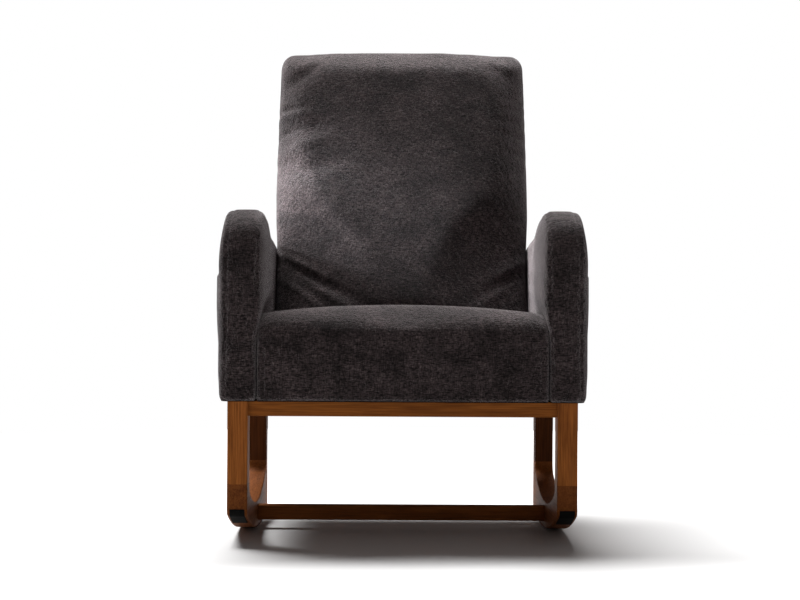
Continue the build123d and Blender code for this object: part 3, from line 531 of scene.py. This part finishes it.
# Seat: a crowned block with a round front edge, sitting between the arms and in front of the back.
# Its front panel is topstitched close to each arm.
def seat_outline(inset, crown):
    front = -OVERHANG + inset
    crest = 0.446 - crown - inset
    gap = -(SEWN_GAP + inset)
    rear_bottom = reclined(gap, along_at(gap, BODY_BOTTOM))
    slope = math.tan(math.radians(5))
    lean = math.tan(RECLINE)
    rear_depth = (rear_bottom[0] + lean * (crest + slope * 0.045 - BODY_BOTTOM)) / (1 + lean * slope)
    corners = [
        (front, BODY_BOTTOM),
        (front, crest - (front - 0.045) * slope),
        (rear_depth, crest - (rear_depth - 0.045) * slope),
        rear_bottom,
    ]
    return rounded(corners, [0.004, 0.05 - inset, 0.014, 0.004])


SEAT_HALF = ARM_INNER - SEWN_GAP
seat_rings = []
for step in range(-20, 21):
    share = step / 20
    edge = max(0.0, abs(share) - 0.9) / 0.1
    seat_rings.append((share * SEAT_HALF, seat_outline(0.002 * edge**2, 0.014 * abs(share) ** 3)))
seat = soft_body("seat", seat_rings)
settle(seat, VOXEL, 2)
places = places_of(seat)
depth = places[:, 1] - FRONT_Y
side_gap = SEAT_HALF - np.abs(places[:, 0])
hold = np.maximum(ramp(side_gap, 0.03, 0.012), ramp(places[:, 2], BODY_BOTTOM + 0.04, BODY_BOTTOM + 0.012))
hold = np.maximum(hold, ramp(depth - 0.364 * (places[:, 2] - 0.429), 0.43, 0.455))
puff(seat, hold, 0.008)
refine(seat)
for sign in (-1, 1):
    line = []
    for step in range(11):
        line.append((sign * (SEAT_HALF - 0.012), FRONT_Y - OVERHANG, BODY_BOTTOM + 0.002 + 0.01 * step))
    sink(seat, line, 0.0014, 0.003)
dress(seat, 0.8, "seat_cover", "seat_foam")


# Back: a tall pillow with rounded upper corners, laid back between the arms.
# The cover puckers at its side seams and folds softly where the arms press on its lower corners.
def back_outline(inset, drop):
    top = 0.649 - drop - 0.2 * inset
    corners = [
        reclined(inset, along_at(inset, BODY_BOTTOM)),
        reclined(inset, top),
        reclined(BACK_THICKNESS, top),
        reclined(BACK_THICKNESS, along_at(BACK_THICKNESS, BODY_BOTTOM)),
    ]
    return rounded(corners, [0.004, min(0.055, (BACK_THICKNESS - inset) / 2), 0.03, 0.004])


BACK_HALF = ARM_INNER - SEWN_GAP
BACK_CORNER = 0.026
back_rings = []
edge_steps = (1.0, 0.997, 0.99, 0.98, 0.965, 0.945, 0.92, 0.89, 0.85, 0.8, 0.7, 0.55, 0.35)
for share in [-step for step in edge_steps] + [0.0] + list(reversed(edge_steps)):
    away = (1 - abs(share)) * BACK_HALF
    inside = BACK_CORNER - min(away, BACK_CORNER)
    drop = BACK_CORNER - math.sqrt(max(0.0, BACK_CORNER**2 - inside**2))
    soft = 0.012 * math.exp(-away / 0.011) + 0.019 * share**4
    back_rings.append((share * BACK_HALF, back_outline(soft, drop)))
back = soft_body("back", back_rings)
settle(back, VOXEL, 5)


def leaning(places):
    """How far each point is up along the back and in from its front face."""
    depth = places[:, 1] - FRONT_Y - BACK_FOOT_DEPTH
    height = places[:, 2] - BACK_FOOT_HEIGHT
    along = depth * math.sin(RECLINE) + height * math.cos(RECLINE)
    return along, depth * math.cos(RECLINE) - height * math.sin(RECLINE)


places = places_of(back)
along, across = leaning(places)
places[:, 0] *= 1 + 0.020 * ramp(along, 0.14, 0.26)
put(back, places)
beside = ramp(np.abs(places[:, 0]), BACK_HALF - 0.03, BACK_HALF - 0.01) * ramp(along, 0.22, 0.16)
below = ramp(along, 0.01, -0.03) * ramp(across, 0.05, 0.02)
hold = np.maximum(np.maximum(beside, below), ramp(across, 0.06, 0.11))
hold = np.maximum(hold, ramp(places[:, 2], BODY_BOTTOM + 0.04, BODY_BOTTOM + 0.012))
puff(back, hold, 0.009)
refine(back)
places = places_of(back)
normals = normals_of(back)
along, across = leaning(places)
# Each fold: its middle across the chair and up the back, its turn in degrees, its length, width and rise.
folds = (
    (-0.215, 0.115, -30, 0.085, 0.010, 0.0045),
    (-0.190, 0.080, -34, 0.080, 0.011, -0.0040),
    (-0.170, 0.055, -38, 0.085, 0.012, 0.0045),
    (-0.215, 0.050, -40, 0.055, 0.010, 0.0030),
    (-0.120, 0.050, -36, 0.070, 0.013, -0.0030),
    (0.230, 0.108, 30, 0.055, 0.012, 0.0022),
    (0.220, 0.075, 36, 0.055, 0.012, -0.0022),
    (0.195, 0.045, 40, 0.060, 0.013, 0.0020),
    (-0.262, 0.490, -6, 0.040, 0.008, -0.0032),
    (-0.250, 0.472, -4, 0.050, 0.012, 0.0016),
    (-0.205, 0.440, -12, 0.050, 0.022, -0.0034),
    (-0.262, 0.430, 10, 0.035, 0.009, -0.0026),
    (-0.225, 0.392, 18, 0.070, 0.018, 0.0030),
    (-0.262, 0.360, -8, 0.035, 0.010, -0.0020),
    (-0.185, 0.345, 8, 0.055, 0.020, -0.0026),
    (-0.225, 0.560, 30, 0.040, 0.012, -0.0022),
    (0.085, 0.628, 0, 0.035, 0.014, 0.0026),
    (0.262, 0.520, 14, 0.032, 0.007, -0.0022),
    (0.262, 0.494, 10, 0.036, 0.007, -0.0024),
    (0.262, 0.462, 8, 0.040, 0.008, -0.0022),
    (0.260, 0.424, -2, 0.040, 0.009, -0.0018),
    (0.258, 0.380, -6, 0.042, 0.010, -0.0016),
    (-0.225, 0.590, 24, 0.050, 0.014, 0.0022),
    (0.220, 0.595, -20, 0.050, 0.014, 0.0022),
    (-0.205, 0.285, -24, 0.070, 0.026, 0.0034),
    (-0.150, 0.235, -30, 0.060, 0.022, 0.0026),
)
lift = np.zeros(len(places))
for x, up, turn, length, width, rise in folds:
    turn = math.radians(turn)
    off_x = places[:, 0] - x
    off_up = along - up
    run = off_x * math.cos(turn) + off_up * math.sin(turn)
    aside = -off_x * math.sin(turn) + off_up * math.cos(turn)
    lift += rise * np.exp(-((run / length) ** 2) - (aside / width) ** 2)
lift *= ramp(across, 0.085, 0.035)
put(back, places + normals * lift[:, None])
for sign in (-1, 1):
    line = []
    for step in range(42):
        depth, height = reclined(0.055, 0.17 + 0.01 * step)
        line.append((sign * BACK_HALF, FRONT_Y + depth, height))
    sink(back, line, 0.0025, 0.005)
dress(back, 0.75, "back_cover", "back_foam")


# Rear panel: one flat piece of the same cloth, blind-stitched over the open rear of the back.
# It is cut from the frame's own panel outline and swells slightly between its edges.
PANEL_CORNER = 0.017
PANEL_TOP = 0.644 - 0.030 - PANEL_CORNER
PANEL_BOTTOM = along_at(BACK_THICKNESS, BODY_BOTTOM)
PANEL_HALF = BACK_HALF - 0.009
panel_mesh = bpy.data.meshes.new("back_outer_panel_cloth")
panel_shape = bmesh.new()
bmesh.ops.create_grid(panel_shape, x_segments=56, y_segments=72, size=1)
for point in panel_shape.verts:
    across, up = point.co.x, point.co.y
    along = PANEL_BOTTOM + SEWN_GAP + (up + 1) / 2 * (PANEL_TOP - PANEL_BOTTOM - SEWN_GAP)
    past = max(0.0, along - PANEL_TOP + PANEL_CORNER)
    short = PANEL_CORNER - math.sqrt(max(0.0, PANEL_CORNER**2 - past**2))
    swell = (1 - across**6) * (1 - up**6)
    depth, height = reclined(0.1203 + 0.0014 + 0.0035 * swell, along)
    point.co = (across * (PANEL_HALF - short), FRONT_Y + depth, height)
bmesh.ops.recalc_face_normals(panel_shape, faces=panel_shape.faces)
panel_shape.to_mesh(panel_mesh)
panel_shape.free()
panel_mesh.shade_smooth()
panel = bpy.data.objects.new("back_outer_panel_cloth", panel_mesh)
bpy.context.scene.collection.objects.link(panel)
panel_mesh.materials.append(chenille)
thickness = panel.modifiers.new("cloth_thickness", "SOLIDIFY")
thickness.thickness = 0.0014
thickness.offset = 0.0
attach(panel, "root")
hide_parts("back_outer_panel")


# Side pockets: a patch of the same cloth sewn to each arm's outer face along both ends and its foot.
# Its hemmed mouth stands open and sags a little in the middle.
for side, sign in (("left", 1), ("right", -1)):
    pocket_mesh = bpy.data.meshes.new(f"{side}_pocket_cloth")
    pocket_shape = bmesh.new()
    bmesh.ops.create_grid(pocket_shape, x_segments=52, y_segments=44, size=1)
    for point in pocket_shape.verts:
        along, share = point.co.x, (point.co.y + 1) / 2
        mouth = 1.0 - 0.05 * max(0.0, share - 0.75) / 0.25
        gape = 0.0195 * (1 - (1 - min(1.0, share / 0.75)) ** 2.2) * mouth
        bulge = gape * (1 - along**2) ** 0.9 if abs(along) < 1 else 0.0
        ripple = 0.0012 * math.sin(along * 9 + 1.3 * sign) * share * (1 - along**2)
        x = ARM_OUTER + 0.0075 + 0.0009 + (bulge + ripple) * 0.62
        sag = 0.006 * (1 - along**2) * share**3
        depth = 0.180 + 0.110 * along * (1 - 0.03 * (1 - share))
        point.co = (sign * x, FRONT_Y + depth, 0.321 + share * 0.186 - sag)
    bmesh.ops.recalc_face_normals(pocket_shape, faces=pocket_shape.faces)
    pocket_shape.to_mesh(pocket_mesh)
    pocket_shape.free()
    pocket_mesh.shade_smooth()
    pocket = bpy.data.objects.new(f"{side}_pocket_cloth", pocket_mesh)
    bpy.context.scene.collection.objects.link(pocket)
    pocket_mesh.materials.append(chenille)
    thickness = pocket.modifiers.new("cloth_thickness", "SOLIDIFY")
    thickness.thickness = 0.0016
    thickness.offset = 0.0
    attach(pocket, "root")
    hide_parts(f"{side}_side_pocket")


# Stage: a pale round floor, a window-like lamp on the left and a wide lamp overhead, both hidden from view.
# The sky lights the chair dimly and is white paper where it is seen directly. The floor is paler further out.
floor_mesh = bpy.data.meshes.new("floor")
floor_shape = bmesh.new()
bmesh.ops.create_circle(floor_shape, cap_ends=True, segments=96, radius=2.6)
floor_shape.to_mesh(floor_mesh)
floor_shape.free()
floor = bpy.data.objects.new("floor", floor_mesh)
bpy.context.scene.collection.objects.link(floor)
floor_finish = bpy.data.materials.new("pale_floor")
floor_finish.use_nodes = True
paint = floor_finish.node_tree
paint.nodes["Principled BSDF"].inputs["Roughness"].default_value = 0.8
spot = paint.nodes.new("ShaderNodeTexCoord")
reach = paint.nodes.new("ShaderNodeVectorMath")
reach.operation = "LENGTH"
paint.links.new(spot.outputs["Object"], reach.inputs[0])
paler = paint.nodes.new("ShaderNodeMapRange")
paler.inputs["From Min"].default_value = 0.9
paler.inputs["From Max"].default_value = 2.4
paler.inputs["To Min"].default_value = 0.52
paler.inputs["To Max"].default_value = 0.92
paint.links.new(reach.outputs["Value"], paler.inputs["Value"])
paint.links.new(paler.outputs["Result"], paint.nodes["Principled BSDF"].inputs["Base Color"])
floor_mesh.materials.append(floor_finish)

world = bpy.data.worlds.new("studio")
bpy.context.scene.world = world
world.use_nodes = True
sky = world.node_tree
dim_sky = sky.nodes["Background"]
dim_sky.inputs["Color"].default_value = (0.17, 0.150, 0.145, 1)
dim_sky.inputs["Strength"].default_value = 1.0
paper = sky.nodes.new("ShaderNodeBackground")
paper.inputs["Color"].default_value = (1.0, 1.0, 1.0, 1)
seen = sky.nodes.new("ShaderNodeLightPath")
either = sky.nodes.new("ShaderNodeMixShader")
sky.links.new(seen.outputs["Is Camera Ray"], either.inputs[0])
sky.links.new(dim_sky.outputs["Background"], either.inputs[1])
sky.links.new(paper.outputs["Background"], either.inputs[2])
sky.links.new(either.outputs["Shader"], sky.nodes["World Output"].inputs["Surface"])
bpy.context.scene.view_settings.view_transform = "Standard"


def area_light(name, place, target, size, power, spread, colour):
    lamp = bpy.data.lights.new(name, "AREA")
    lamp.shape = "RECTANGLE"
    lamp.size = size[0]
    lamp.size_y = size[1]
    lamp.energy = power
    lamp.color = colour
    lamp.spread = math.radians(spread)
    holder = bpy.data.objects.new(name, lamp)
    bpy.context.scene.collection.objects.link(holder)
    holder.location = place
    aim = np.array(target) - np.array(place)
    yaw = math.atan2(aim[0], -aim[1])
    pitch = math.atan2(math.hypot(aim[0], aim[1]), -aim[2])
    holder.rotation_euler = (pitch, 0, yaw + math.pi)
    return holder


window = area_light("window", (-0.85, 0.17, 0.86), (0.27, 0.02, 0.62), (0.2, 0.2), 3.2, 30, (0.94, 0.97, 1.0))
window.visible_camera = False
overhead = area_light("overhead", (-0.7, 1.25, 3.6), (0, -0.2, 0.5), (3.2, 1.3), 560, 180, (1.0, 1.0, 1.0))
overhead.visible_camera = False


# Camera: level, a little below the arms, almost square to the front of the chair.
# A long lens, because the legs at the front and the rear are nearly the same size in the picture.
camera = bpy.data.cameras.new("camera")
camera.sensor_width = 36
camera.lens = 78.5
camera.shift_x = -0.0026
eye = bpy.data.objects.new("camera", camera)
bpy.context.scene.collection.objects.link(eye)
eye.location = (-0.025, FRONT_Y - 3.23, 0.459)
eye.rotation_euler = (math.radians(90), math.radians(-0.33), math.radians(-0.4))
bpy.context.scene.camera = eye
